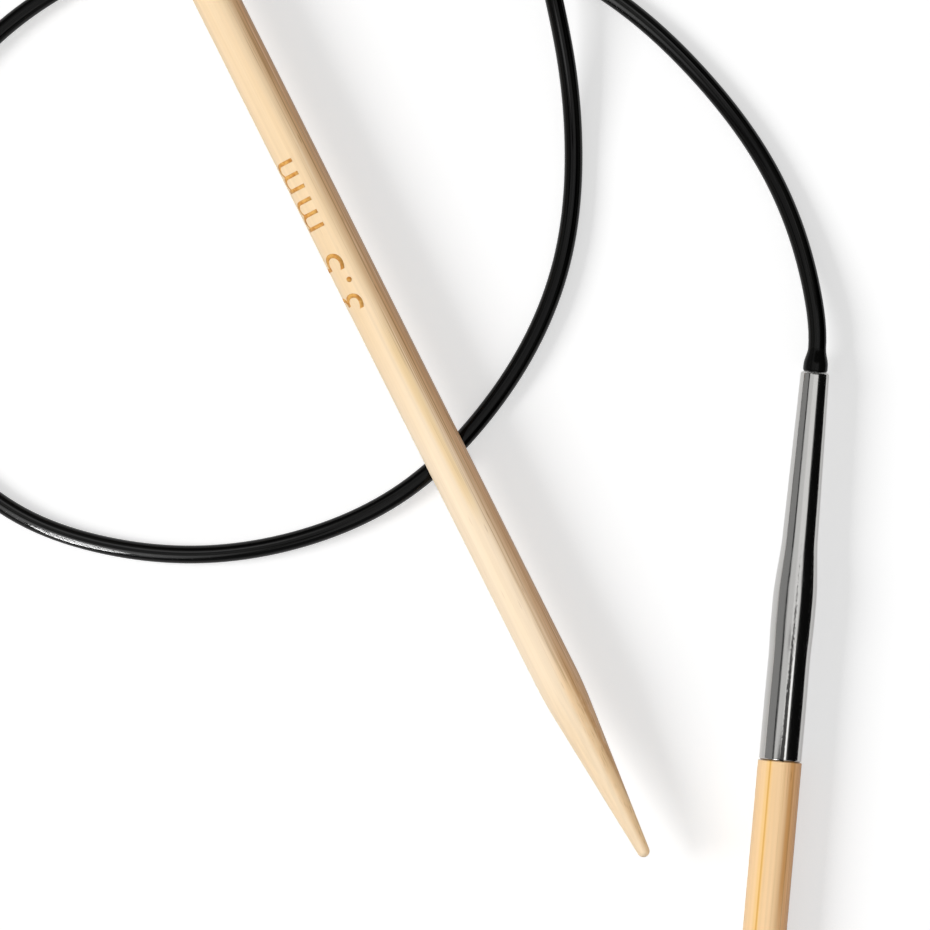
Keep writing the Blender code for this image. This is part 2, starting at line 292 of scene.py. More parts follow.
# Moulded plastic: black with a satin skin, finely orange-peeled by the mould.
PEEL = 0.12 * MM
PEEL_DEPTH = 0.004 * MM
PEEL_RELIEF = 0.4
PLASTIC_ROUGHNESS = 0.22
PLASTIC_IOR = 1.5
PLASTIC_SPECULAR = 0.12
moulded, tree, shader = new_material("Moulded black plastic")
place = add_node(tree, "ShaderNodeTexCoord", {})
peel = add_node(tree, "ShaderNodeTexNoise",
                {"Vector": place.outputs["Object"], "Scale": 1.0 / PEEL, "Detail": 2.0})
tint = add_node(tree, "ShaderNodeMix",
                {0: peel.outputs[0], 6: linear("#040404"), 7: linear("#0A0A09")}, data_type="RGBA")
relief = add_node(tree, "ShaderNodeBump",
                  {"Strength": PEEL_RELIEF, "Distance": PEEL_DEPTH, "Height": peel.outputs[0]})
tree.links.new(tint.outputs[2], shader.inputs["Base Color"])
tree.links.new(relief.outputs[0], shader.inputs["Normal"])
shader.inputs["Roughness"].default_value = PLASTIC_ROUGHNESS
shader.inputs["IOR"].default_value = PLASTIC_IOR
shader.inputs["Specular IOR Level"].default_value = PLASTIC_SPECULAR

rim_top = COLLAR_GAP + COLLAR_RIM
bell = [(0.0, COLLAR_TOP)]
for share in np.linspace(0.0, 1.0, 2 * CURVE_STEPS):
    bell.append((CORD_RADIUS + (COLLAR_RADIUS - CORD_RADIUS) * soft_step(share),
                 COLLAR_TOP + (rim_top - COLLAR_TOP) * share))
bell += quarter_round(COLLAR_RADIUS - COLLAR_ROUND, COLLAR_GAP + COLLAR_ROUND, COLLAR_ROUND, 0.0, -90.0)
bell += [(BOSS_RADIUS, COLLAR_GAP), (BOSS_RADIUS, BOSS_GAP), (PIN_CLEARANCE, BOSS_GAP)]
bell += [(PIN_CLEARANCE, COLLAR_GAP), (COLLAR_BORE, COLLAR_GAP)]
bell += [(COLLAR_BORE, COLLAR_TOP - COLLAR_CAP), (0.0, COLLAR_TOP - COLLAR_CAP)]
for side in swivels:
    collar = turn(f"{side}_collar_bell", bell, COLLAR_SIDES)
    lay_at_mouth(collar, side)
    collar.data.materials.append(moulded)
    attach(collar, "cord")
    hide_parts(f"{side}_cord_collar")


# Swivel pins: a headed pin of turned steel at each end of the cord. Its tail is held in the
# collar, its neck runs in the hole of the ferrule's mouth and its head is caught behind it,
# so that the tip spins on the cord. The collar's boss and the ferrule hide it.
PIN_NECK = 0.48 * MM
PIN_TAIL = 0.385 * MM
PIN_HEAD = 0.84 * MM
PIN_HEAD_THICKNESS = 0.6 * MM
PIN_CHAMFER = 0.12 * MM
GLUE_GAP = 0.04 * MM
LIP_THICKNESS = 0.5 * MM
END_PLAY = 0.06 * MM
PIN_SIDES = 32

# Turned steel: bright grey, and finely roughened by the lathe tool.
TOOL_MARK = 0.08 * MM
STEEL_SHINIEST = 0.25
STEEL_DULLEST = 0.4
steel, tree, shader = new_material("Turned steel")
place = add_node(tree, "ShaderNodeTexCoord", {})
tool_marks = add_node(tree, "ShaderNodeTexNoise",
                      {"Vector": place.outputs["Object"], "Scale": 1.0 / TOOL_MARK, "Detail": 1.0})
dullness = add_node(tree, "ShaderNodeMapRange",
                    {0: tool_marks.outputs[0], 3: STEEL_SHINIEST, 4: STEEL_DULLEST})
tree.links.new(dullness.outputs[0], shader.inputs["Roughness"])
shader.inputs["Base Color"].default_value = linear("#BDBDBE")
shader.inputs["Metallic"].default_value = 1.0

tail_end = COLLAR_TOP - COLLAR_CAP - GLUE_GAP
neck_end = COLLAR_GAP - GLUE_GAP
head_top = -LIP_THICKNESS - END_PLAY
head_end = head_top - PIN_HEAD_THICKNESS
headed_pin = [
    (0.0, tail_end),
    (PIN_TAIL, tail_end),
    (PIN_TAIL, neck_end),
    (PIN_NECK, neck_end),
    (PIN_NECK, head_top),
    (PIN_HEAD, head_top),
    (PIN_HEAD, head_end + PIN_CHAMFER),
    (PIN_HEAD - PIN_CHAMFER, head_end),
    (0.0, head_end),
]
for side in swivels:
    pin = turn(f"{side}_headed_pin", headed_pin, PIN_SIDES)
    lay_at_mouth(pin, side)
    pin.data.materials.append(steel)
    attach(pin, "cord")
    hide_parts(f"{side}_swivel_pin")


# Ferrules: a brass tube drawn and swaged down to a slim neck, polished and nickel plated.
# The bamboo's tenon is glued into the wide barrel, and the mouth of the neck is rolled in
# to a thick rounded lip that holds the pin's head.
SHAFT_RADIUS = 1.75 * MM
NECK_LENGTH = 12.8 * MM
SWAGE_LENGTH = 5.4 * MM
BARREL_LENGTH = 12.8 * MM
MOUTH_RADIUS = 1.15 * MM
NECK_END_RADIUS = 1.42 * MM
RIDGE_LENGTH = 1.5 * MM
WAIST_DISTANCE = 4.6 * MM
WAIST_RADIUS = 1.68 * MM
SKIRT_LENGTH = 3.8 * MM
SKIRT_RADIUS = 1.705 * MM
SKIRT_ROUND = 0.20 * MM
WALL = 0.25 * MM
LIP_ROUND = 0.22 * MM
PIN_HOLE = 0.54 * MM
FERRULE_LENGTH = NECK_LENGTH + SWAGE_LENGTH + BARREL_LENGTH
BORE_RADIUS = WAIST_RADIUS - WALL
METAL_SIDES = 96

# Polished nickel plate: a warm grey mirror, drawn out along the tube by fine lines that
# ripple its reflections, and dulled a little where it has been handled. One ragged scuff
# runs along the barrel, where the plate is worn dull, with a painted highlight beside it: a
# strip of brighter, shinier metal. Their places, widths and reaches are in millimetres from
# the top line and from the mouth.
DRAW_LINE = 0.10 * MM
DRAW_RUN = 9.0 * MM
DRAW_DEPTH = 0.006 * MM
DRAW_RELIEF = 0.5
HANDLING = 2.5 * MM
PLATE_SHINIEST = 0.09
PLATE_DULLEST = 0.18
RAG = 0.04 * MM
RAG_RUN = 0.22 * MM
FRAY = 0.9
FRAY_NONE = 0.80
FRAY_FULL = 1.00
SCUFF_WIDTH = 0.30
SCUFF_START = -7.0
SCUFF_FULL = -31.0
SCUFF_ROUGHNESS = 0.26
PAINTED_GLINT_OFFSET = 0.24
PAINTED_GLINT_WIDTH = 0.17
PAINTED_GLINT_START = -19.0
PAINTED_GLINT_FULL = -25.0
PAINTED_GLINT_ROUGHNESS = 0.12


def nickel_plate(name, side, scuff_place):
    """Nickel with its draw lines along one tip, and a scuff so many millimetres beside its top line."""
    mouth, outward = swivels[side]
    heading = math.atan2(-outward.x, outward.y)
    material, tree, shader = new_material(name)
    place = add_node(tree, "ShaderNodeTexCoord", {})
    laid = {}
    for layer, across, run in (("lines", DRAW_LINE, DRAW_RUN), ("rags", RAG, RAG_RUN), ("mm", MM, MM)):
        laid[layer] = add_node(tree, "ShaderNodeMapping",
                               {0: place.outputs["Object"], 1: mouth, 2: (0.0, 0.0, heading),
                                3: (across, run, across)}, vector_type="TEXTURE").outputs[0]
    lines = add_node(tree, "ShaderNodeTexNoise", {"Vector": laid["lines"], "Scale": 1.0, "Detail": 2.0})
    rags = add_node(tree, "ShaderNodeTexNoise", {"Vector": laid["rags"], "Scale": 1.0, "Detail": 2.0})
    smears = add_node(tree, "ShaderNodeTexNoise",
                      {"Vector": place.outputs["Object"], "Scale": 1.0 / HANDLING, "Detail": 3.0})
    spot = add_node(tree, "ShaderNodeSeparateXYZ", {0: laid["mm"]})
    on_top = add_node(tree, "ShaderNodeMath", {0: spot.outputs[2], 1: 0.0}, operation="GREATER_THAN")
    polish = add_node(tree, "ShaderNodeMapRange",
                      {0: smears.outputs[0], 3: PLATE_SHINIEST, 4: PLATE_DULLEST})
    colour, dullness = linear("#BDBCBA"), polish.outputs[0]
    # The scuff is worn plate; the second row paints a highlight as a bright, shinier strip beside it.
    for mark_place, width, start, full, mark_colour, mark_roughness in (
        (scuff_place, SCUFF_WIDTH, SCUFF_START, SCUFF_FULL, "#434241", SCUFF_ROUGHNESS),
        (scuff_place + PAINTED_GLINT_OFFSET, PAINTED_GLINT_WIDTH, PAINTED_GLINT_START, PAINTED_GLINT_FULL, "#E6E5E3", PAINTED_GLINT_ROUGHNESS),
    ):
        aside = add_node(tree, "ShaderNodeMath", {0: spot.outputs[0], 1: mark_place}, operation="SUBTRACT")
        off_line = add_node(tree, "ShaderNodeMath", {0: aside.outputs[0]}, operation="ABSOLUTE")
        near = add_node(tree, "ShaderNodeMapRange", {0: off_line.outputs[0], 1: width, 2: 0.0})
        reach = add_node(tree, "ShaderNodeMapRange", {0: spot.outputs[1], 1: start, 2: full})
        band = add_node(tree, "ShaderNodeMath", {0: near.outputs[0], 1: reach.outputs[0]},
                        operation="MULTIPLY")
        band = add_node(tree, "ShaderNodeMath", {0: band.outputs[0], 1: on_top.outputs[0]},
                        operation="MULTIPLY")
        frayed = add_node(tree, "ShaderNodeMath", {0: rags.outputs[0], 1: FRAY, 2: band.outputs[0]},
                          operation="MULTIPLY_ADD")
        shown = add_node(tree, "ShaderNodeMapRange", {0: frayed.outputs[0], 1: FRAY_NONE, 2: FRAY_FULL},
                         interpolation_type="SMOOTHSTEP")
        colour = add_node(tree, "ShaderNodeMix", {0: shown.outputs[0], 6: colour, 7: linear(mark_colour)},
                          data_type="RGBA").outputs[2]
        dullness = add_node(tree, "ShaderNodeMix",
                            {0: shown.outputs[0], 2: dullness, 3: mark_roughness}).outputs[0]
    relief = add_node(tree, "ShaderNodeBump",
                      {"Strength": DRAW_RELIEF, "Distance": DRAW_DEPTH, "Height": lines.outputs[0]})
    tree.links.new(colour, shader.inputs["Base Color"])
    tree.links.new(dullness, shader.inputs["Roughness"])
    tree.links.new(relief.outputs[0], shader.inputs["Normal"])
    shader.inputs["Metallic"].default_value = 1.0
    return material


scuff_places = {"left": -0.25, "right": 0.10}
swage_top = -NECK_LENGTH
barrel_top = swage_top - SWAGE_LENGTH
waist = barrel_top - WAIST_DISTANCE
skirt_end = -FERRULE_LENGTH
throat = NECK_END_RADIUS - WALL
cavity = MOUTH_RADIUS - WALL
ferrule = [(PIN_HOLE, 0.0)]
ferrule += quarter_round(MOUTH_RADIUS - LIP_ROUND, -LIP_ROUND, LIP_ROUND, 90.0, 0.0)
bore = [(PIN_HOLE, -LIP_THICKNESS), (cavity, -LIP_THICKNESS)]
for share in np.linspace(0.0, 1.0, 2 * CURVE_STEPS):
    spread = soft_step(share)
    height = swage_top - SWAGE_LENGTH * share
    ferrule.append((NECK_END_RADIUS + (SHAFT_RADIUS - NECK_END_RADIUS) * spread, height))
    bore.append((throat + (BORE_RADIUS - throat) * spread, height))
for start, end, top, bottom in (
    (SHAFT_RADIUS, WAIST_RADIUS, barrel_top - RIDGE_LENGTH, waist),
    (WAIST_RADIUS, SKIRT_RADIUS, waist, skirt_end + SKIRT_LENGTH),
):
    for share in np.linspace(0.0, 1.0, CURVE_STEPS):
        ferrule.append((start + (end - start) * soft_step(share), top + (bottom - top) * share))
ferrule += quarter_round(SKIRT_RADIUS - SKIRT_ROUND, skirt_end + SKIRT_ROUND, SKIRT_ROUND, 0.0, -90.0)
ferrule.append((BORE_RADIUS, skirt_end))
ferrule += bore[::-1]
ferrule.append((PIN_HOLE, 0.0))
ferrules = []
for side in swivels:
    tube = turn(f"{side}_nickel_ferrule", ferrule, METAL_SIDES)
    lay_at_mouth(tube, side)
    tube.data.materials.append(nickel_plate(f"Nickel plate {side}", side, scuff_places[side]))
    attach(tube, f"{side}_tip")
    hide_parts(f"{side}_ferrule")
    ferrules.append(tube)


# Shafts: a stick split from the wall of a bamboo culm, turned round, sharpened to a long
# cone with a softly rounded nose, and waxed. A thinner tenon at the other end is glued
# into the ferrule, so that wood and metal run on at nearly one thickness.
SHAFT_LENGTH = 99.0 * MM
POINT_LENGTH = 14.6 * MM
POINT_SOFTENING = 1.5 * MM
NOSE_RADIUS = 0.5 * MM
SHOULDER_ROUND = 0.06 * MM
TENON_CHAMFER = 0.25 * MM
TENON_END_GAP = 1.2 * MM
TENON_RADIUS = BORE_RADIUS - GLUE_GAP
WOOD_SIDES = 72

# Waxed bamboo: pale straw wood packed with straight fibres, which show as fine tan lines
# along a cut side and as short flecks where the cone slices through them. They crowd and
# brown towards the tip's right-hand side, away from the lamps: partly the culm's denser
# outside, partly painted shade. The wax gives a soft sheen. Places on the tip are in
# millimetres from its top line and from the ferrule's mouth.
NOISE_MIDDLE = 0.5
FIBRE = 0.09 * MM
FIBRE_RUN = 9.0 * MM
FIBRE_DEPTH = 0.008 * MM
FIBRE_RELIEF = 0.5
BUNDLE = 0.30 * MM
BUNDLE_RUN = 40.0 * MM
BUNDLE_NONE = 0.3
BUNDLE_FULL = 0.7
BUNDLE_DARKEST = 0.94
BUNDLE_LIGHTEST = 1.04
PORE = 0.45 * MM
PORE_RUN = 5.0 * MM
CLOUD = 1.6 * MM
CLOUD_RUN = 30.0 * MM
CLOUD_NONE = 0.35
CLOUD_FULL = 0.65
CLOUD_SHARE = 0.3
RIPE_START = -96.0
RIPE_END = -78.0
CUT_START = -112.0
CUT_END = -121.0
CUT_RIPENESS = 0.5
CROWDING_AND_SHADE_START = 0.3
CROWDING_AND_SHADE_FULL = 1.75
STREAK_WANDER = 0.10
STREAK_FADE = 5.0
STREAK_CORE = 0.2
STREAK_REACH = 0.8
WAXED_SHINIEST = 0.36
WAXED_DULLEST = 0.52
WOOD_IOR = 1.5
WOOD_SPECULAR = 0.25
WAX_WEIGHT = 0.15
WAX_ROUGHNESS = 0.3


def waxed_bamboo(name, side, pale, straw, rich_and_shaded, brown, streaks, seed):
    """Bamboo with its fibres along one tip, turning richer and browner towards the
    right-hand side, away from the lamps, partly as painted shade.

    A streak is one strong fibre bundle: millimetres right of the top line, width, colour,
    strength, and where along the tip it starts and ends, in millimetres from the mouth."""
    mouth, outward = swivels[side]
    heading = math.atan2(-outward.x, outward.y)
    material, tree, shader = new_material(name)
    place = add_node(tree, "ShaderNodeTexCoord", {})
    laid = {}
    for layer, across, run, shift in (
        ("mm", MM, MM, 0.0),
        ("clouds", CLOUD, CLOUD_RUN, seed),
        ("bundles", BUNDLE, BUNDLE_RUN, seed),
        ("fibres", FIBRE, FIBRE_RUN, seed),
        ("pores", PORE, PORE_RUN, seed),
    ):
        laid[layer] = add_node(tree, "ShaderNodeMapping",
                               {0: place.outputs["Object"], 1: mouth + outward * shift * run,
                                2: (0.0, 0.0, heading), 3: (across, run, across)},
                               vector_type="TEXTURE").outputs[0]
    spot = add_node(tree, "ShaderNodeSeparateXYZ", {0: laid["mm"]})
    clouds = add_node(tree, "ShaderNodeTexNoise", {"Vector": laid["clouds"], "Scale": 1.0})
    bundles = add_node(tree, "ShaderNodeTexNoise", {"Vector": laid["bundles"], "Scale": 1.0, "Detail": 1.0})
    fibres = add_node(tree, "ShaderNodeTexNoise", {"Vector": laid["fibres"], "Scale": 1.0, "Detail": 2.0})
    pores = add_node(tree, "ShaderNodeTexVoronoi",
                     {"Vector": laid["pores"], "Scale": 1.0, "Randomness": 1.0})
    on_top = add_node(tree, "ShaderNodeMath", {0: spot.outputs[2], 1: 0.0}, operation="GREATER_THAN")

    # Body: pale near the cone, riper further up and where the cone is cut, with soft clouds.
    patchy = add_node(tree, "ShaderNodeMapRange", {0: clouds.outputs[0], 1: CLOUD_NONE, 2: CLOUD_FULL})
    upper = add_node(tree, "ShaderNodeMapRange", {0: spot.outputs[1], 1: RIPE_START, 2: RIPE_END},
                     interpolation_type="SMOOTHSTEP")
    point = add_node(tree, "ShaderNodeMapRange",
                     {0: spot.outputs[1], 1: CUT_START, 2: CUT_END, 3: 0.0, 4: CUT_RIPENESS},
                     interpolation_type="SMOOTHSTEP")
    ripe = add_node(tree, "ShaderNodeMath", {0: upper.outputs[0], 1: point.outputs[0]}, operation="MAXIMUM")
    ripe = add_node(tree, "ShaderNodeMix", {0: CLOUD_SHARE, 2: ripe.outputs[0], 3: patchy.outputs[0]})
    body = add_node(tree, "ShaderNodeMix", {0: ripe.outputs[0], 6: linear(pale), 7: linear(straw)},
                    data_type="RGBA")

    # Culm and painted shade: the wood grows richer and browner towards the right-hand side,
    # bundle by bundle, partly as the culm's denser outside and partly as painted shade.
    wander = add_node(tree, "ShaderNodeMath", {0: clouds.outputs[0], 1: NOISE_MIDDLE},
                      operation="SUBTRACT")
    drift = add_node(tree, "ShaderNodeMath", {0: spot.outputs[0], 1: wander.outputs[0]}, operation="ADD")
    # Painted shade in part: the right-hand side, away from the lamps, is mixed towards the rich colour.
    crowding_and_shade = add_node(tree, "ShaderNodeMapRange",
                        {0: drift.outputs[0], 1: CROWDING_AND_SHADE_START, 2: CROWDING_AND_SHADE_FULL},
                        interpolation_type="SMOOTHSTEP")
    colour = add_node(tree, "ShaderNodeMix", {0: crowding_and_shade.outputs[0], 6: body.outputs[2], 7: linear(rich_and_shaded)},
                      data_type="RGBA")
    shade = add_node(tree, "ShaderNodeMapRange",
                     {0: bundles.outputs[0], 1: BUNDLE_NONE, 2: BUNDLE_FULL,
                      3: BUNDLE_DARKEST, 4: BUNDLE_LIGHTEST})
    tone = add_node(tree, "ShaderNodeVectorMath", {0: colour.outputs[2], 3: shade.outputs[0]},
                    operation="SCALE").outputs[0]

    # Streaks: each sways a little and fades in and out along the tip.
    for aside, width, streak_colour, strength, start, end in streaks:
        sway = add_node(tree, "ShaderNodeMath",
                        {0: fibres.outputs[0], 1: STREAK_WANDER, 2: -aside - NOISE_MIDDLE * STREAK_WANDER},
                        operation="MULTIPLY_ADD")
        apart = add_node(tree, "ShaderNodeMath", {0: spot.outputs[0], 1: sway.outputs[0]}, operation="ADD")
        apart = add_node(tree, "ShaderNodeMath", {0: apart.outputs[0]}, operation="ABSOLUTE")
        shown = add_node(tree, "ShaderNodeMapRange",
                         {0: apart.outputs[0], 1: STREAK_REACH * width, 2: STREAK_CORE * width,
                          3: 0.0, 4: strength}, interpolation_type="SMOOTHSTEP").outputs[0]
        begun = add_node(tree, "ShaderNodeMapRange",
                         {0: spot.outputs[1], 1: -start + STREAK_FADE, 2: -start},
                         interpolation_type="SMOOTHSTEP")
        ended = add_node(tree, "ShaderNodeMapRange",
                         {0: spot.outputs[1], 1: -end - STREAK_FADE, 2: -end},
                         interpolation_type="SMOOTHSTEP")
        for share in (begun, ended, on_top):
            shown = add_node(tree, "ShaderNodeMath", {0: shown, 1: share.outputs[0]},
                             operation="MULTIPLY").outputs[0]
        tone = add_node(tree, "ShaderNodeMix", {0: shown, 6: tone, 7: linear(streak_colour)},
                        data_type="RGBA").outputs[2]

    # Fibres: dark lines, light lines and pores, all stronger towards the right-hand side.
    for pattern, none_at, full_at, least, most, line_colour in (
        (fibres.outputs[0], 0.46, 0.30, 0.04, 0.60, brown),
        (fibres.outputs[0], 0.56, 0.70, 0.04, 0.45, pale),
        (pores.outputs[0], 0.12, 0.04, 0.15, 0.70, brown),
    ):
        drawn = add_node(tree, "ShaderNodeMapRange", {0: pattern, 1: none_at, 2: full_at},
                         interpolation_type="SMOOTHSTEP")
        strength = add_node(tree, "ShaderNodeMapRange",
                            {0: drift.outputs[0], 1: 0.0, 2: 1.0, 3: least, 4: most})
        shown = add_node(tree, "ShaderNodeMath", {0: drawn.outputs[0], 1: strength.outputs[0]},
                         operation="MULTIPLY")
        tone = add_node(tree, "ShaderNodeMix", {0: shown.outputs[0], 6: tone, 7: linear(line_colour)},
                        data_type="RGBA").outputs[2]
    dullness = add_node(tree, "ShaderNodeMapRange",
                        {0: fibres.outputs[0], 3: WAXED_SHINIEST, 4: WAXED_DULLEST})
    relief = add_node(tree, "ShaderNodeBump",
                      {"Strength": FIBRE_RELIEF, "Distance": FIBRE_DEPTH, "Height": fibres.outputs[0]})
    tree.links.new(tone, shader.inputs["Base Color"])
    tree.links.new(dullness.outputs[0], shader.inputs["Roughness"])
    tree.links.new(relief.outputs[0], shader.inputs["Normal"])
    shader.inputs["IOR"].default_value = WOOD_IOR
    shader.inputs["Specular IOR Level"].default_value = WOOD_SPECULAR
    shader.inputs["Coat Weight"].default_value = WAX_WEIGHT
    shader.inputs["Coat Roughness"].default_value = WAX_ROUGHNESS
    return material


shoulder = -FERRULE_LENGTH - GLUE_GAP
tip = shoulder - SHAFT_LENGTH
tenon_end = barrel_top - TENON_END_GAP
cone_top = tip + POINT_LENGTH
cone_slope = (SHAFT_RADIUS - NOSE_RADIUS) / (POINT_LENGTH - NOSE_RADIUS)
stick = [
    (0.0, tenon_end),
    (TENON_RADIUS - TENON_CHAMFER, tenon_end),
    (TENON_RADIUS, tenon_end - TENON_CHAMFER),
    (TENON_RADIUS, shoulder),
]
stick += quarter_round(SHAFT_RADIUS - SHOULDER_ROUND, shoulder - SHOULDER_ROUND, SHOULDER_ROUND, 90.0, 0.0)
for share in np.linspace(0.0, 1.0, CURVE_STEPS):
    radius = SHAFT_RADIUS - cone_slope * POINT_SOFTENING * share * share
    stick.append((radius, cone_top + POINT_SOFTENING * (1.0 - 2.0 * share)))
stick += quarter_round(0.0, tip + NOSE_RADIUS, NOSE_RADIUS, 0.0, -90.0)
left_streaks = [
    (0.16, 0.62, "#F0D19C", 0.8, 86.0, 97.0),
    (1.06, 0.07, "#A98357", 0.75, 58.0, 95.0),
    (1.32, 0.08, "#A37D55", 0.4, 36.0, 88.0),
    (0.62, 0.06, "#D3AC7C", 0.6, 84.0, 114.0),
    (0.92, 0.07, "#BC9163", 0.6, 88.0, 112.0),
    (0.50, 0.70, "#FBD29A", 0.6, 116.0, 128.0),
    (1.00, 0.35, "#CB9861", 0.7, 115.0, 126.0),
]
right_streaks = [
    (-0.84, 0.42, "#F6CB82", 0.7, 31.0, 128.0),
    (-0.78, 0.13, "#E0A850", 0.9, 31.0, 128.0),
    (1.02, 0.36, "#DDA362", 0.9, 31.0, 40.0),
    (1.16, 0.08, "#BE8A55", 0.6, 33.0, 52.0),
]
# The third colour of each is the right-hand side's richer tone, partly painted shade.
bamboos = {
    "left": waxed_bamboo("Waxed bamboo left", "left", "#FBE6C9", "#F2D4A9", "#D4A577", "#A67C4E",
                         left_streaks, 0.0),
    "right": waxed_bamboo("Waxed bamboo right", "right", "#F5D1A4", "#F3CD9B", "#E6AC74", "#BC8549",
                          right_streaks, 3.7),
}
for side in swivels:
    shaft = turn(f"{side}_waxed_shaft", stick, WOOD_SIDES)
    lay_at_mouth(shaft, side)
    shaft.data.materials.append(bamboos[side])
    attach(shaft, f"{side}_tip")
    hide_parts(f"{side}_bamboo_shaft")


# Size mark: the needle's thickness in millimetres, burnt into the left shaft by a hot stamp.
# The thin strokes are scorched a little below the wax and reach round to the shaft's left side.
MARK_TEXT = "3.5 mm"
MARK_HEIGHT = 2.8 * MM
MARK_CENTRE = 55.5 * MM
MARK_BASE_DEG = 12.0
MARK_PROUD = 0.006 * MM
MARK_DEPTH = 0.05 * MM
MARK_STRIP = 0.1 * MM
MARK_THINNING = 0.02 * MM
MARK_SPACING = 1.15
CAPITAL_SHARE = 0.70

# Scorched bamboo: toasted orange with browner patches where the stamp pressed harder.
SCORCH_PATCH = 0.35 * MM
SCORCH_NONE = 0.35
SCORCH_FULL = 0.65
SCORCH_SHINIEST = 0.5
SCORCH_DULLEST = 0.7
scorched, tree, shader = new_material("Scorched bamboo")
place = add_node(tree, "ShaderNodeTexCoord", {})
patches = add_node(tree, "ShaderNodeTexNoise",
                   {"Vector": place.outputs["Object"], "Scale": 1.0 / SCORCH_PATCH, "Detail": 2.0})
toast = add_node(tree, "ShaderNodeMapRange", {0: patches.outputs[0], 1: SCORCH_NONE, 2: SCORCH_FULL})
tint = add_node(tree, "ShaderNodeMix",
                {0: toast.outputs[0], 6: linear("#E6B05E"), 7: linear("#CC883A")}, data_type="RGBA")
dullness = add_node(tree, "ShaderNodeMapRange",
                    {0: patches.outputs[0], 3: SCORCH_SHINIEST, 4: SCORCH_DULLEST})
tree.links.new(tint.outputs[2], shader.inputs["Base Color"])
tree.links.new(dullness.outputs[0], shader.inputs["Roughness"])

bpy.ops.object.select_all(action="DESELECT")
bpy.ops.object.text_add(location=(0.0, 0.0, 0.0))
mark = bpy.context.object
mark.name = "left_size_mark"
mark.data.body = MARK_TEXT
mark.data.size = MARK_HEIGHT / CAPITAL_SHARE
mark.data.align_x = "CENTER"
mark.data.offset = -MARK_THINNING
mark.data.space_character = MARK_SPACING
bpy.ops.object.convert(target="MESH")
mark.data.name = "left_size_mark"
bpy.ops.object.mode_set(mode="EDIT")
bpy.ops.mesh.select_all(action="SELECT")
bpy.ops.mesh.remove_doubles(threshold=MERGE_DISTANCE)
for cut in np.arange(-MARK_STRIP, MARK_HEIGHT + MARK_STRIP, MARK_STRIP):
    bpy.ops.mesh.select_all(action="SELECT")
    bpy.ops.mesh.bisect(plane_co=(0.0, cut, 0.0), plane_no=(0.0, 1.0, 0.0))
bpy.ops.object.mode_set(mode="OBJECT")
for vertex in mark.data.vertices:
    along, up, _ = vertex.co
    round_left = math.radians(MARK_BASE_DEG) + up / SHAFT_RADIUS
    reach = SHAFT_RADIUS + MARK_PROUD
    vertex.co = (reach * math.sin(round_left), reach * math.cos(round_left),
                 tip + MARK_CENTRE + along)
lay_at_mouth(mark, "left")
thick = mark.modifiers.new("depth", "SOLIDIFY")
thick.thickness = MARK_DEPTH
thick.offset = -1.0
bpy.ops.object.modifier_apply(modifier="depth")
mark.data.materials.append(scorched)
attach(mark, "left_tip")


# Table, light and camera: the needle lies on a plain white table and is seen straight from
# above. A soft box overhead and one on its left light the needle, a lower lamp throws soft
# shadows across the table, and bright and dark cards stand where only gloss shows them.
LOOK_AT = Vector((7.97 * MM, 17.71 * MM, 2.3 * MM))
FRAME_WIDTH = 73.81 * MM
LENS = 400.0
SENSOR = 36.0
AMBIENT = 0.22
BACKDROP = 1.0
TABLE_GREY = (0.8, 0.8, 0.8, 1.0)
TABLE_LIFT = 0.575
TABLE_SIZE = 8.0
TABLE_DROP = 0.02 * MM

scene = bpy.context.scene
scene.view_settings.view_transform = "Standard"
camera_data = bpy.data.cameras.new("camera")
camera_data.lens = LENS
camera_data.sensor_width = SENSOR
camera = bpy.data.objects.new("camera", camera_data)
camera.location = LOOK_AT + Vector((0.0, 0.0, FRAME_WIDTH * LENS / SENSOR))
scene.collection.objects.link(camera)
scene.camera = camera

world = bpy.data.worlds.new("studio")
scene.world = world
white = bpy.data.materials.new("White table")
seen = {}
for lit_white in (world, white):
    lit_white.use_nodes = True
    tree = lit_white.node_tree
    tree.nodes.clear()
    paths = add_node(tree, "ShaderNodeLightPath", {})
    direct = add_node(tree, "ShaderNodeMath",
                      {0: paths.outputs["Is Camera Ray"], 1: paths.outputs["Is Glossy Ray"]},
                      operation="ADD")
    seen[lit_white.name] = add_node(tree, "ShaderNodeMath",
                                    {0: direct.outputs[0], 1: paths.outputs["Is Transmission Ray"]},
                                    operation="ADD", use_clamp=True).outputs[0]
tree = world.node_tree
ambient = add_node(tree, "ShaderNodeBackground", {"Color": linear("#FFFFFF"), "Strength": AMBIENT})
backdrop = add_node(tree, "ShaderNodeBackground", {"Color": linear("#FFFFFF"), "Strength": BACKDROP})
either = add_node(tree, "ShaderNodeMixShader",
                  {0: seen[world.name], 1: ambient.outputs[0], 2: backdrop.outputs[0]})
add_node(tree, "ShaderNodeOutputWorld", {"Surface": either.outputs[0]})
tree = white.node_tree
lift = add_node(tree, "ShaderNodeMath", {0: seen[white.name], 1: TABLE_LIFT}, operation="MULTIPLY")
paper = add_node(tree, "ShaderNodeBsdfDiffuse", {"Color": TABLE_GREY})
glow = add_node(tree, "ShaderNodeEmission", {"Color": linear("#FFFFFF"), "Strength": lift.outputs[0]})
both = add_node(tree, "ShaderNodeAddShader", {0: paper.outputs[0], 1: glow.outputs[0]})
add_node(tree, "ShaderNodeOutputMaterial", {"Surface": both.outputs[0]})
bpy.ops.object.select_all(action="DESELECT")
bpy.ops.mesh.primitive_plane_add(size=TABLE_SIZE, location=(0.0, 0.0, -TABLE_DROP))
table = bpy.context.object
table.name = "white_table"
table.data.materials.append(white)

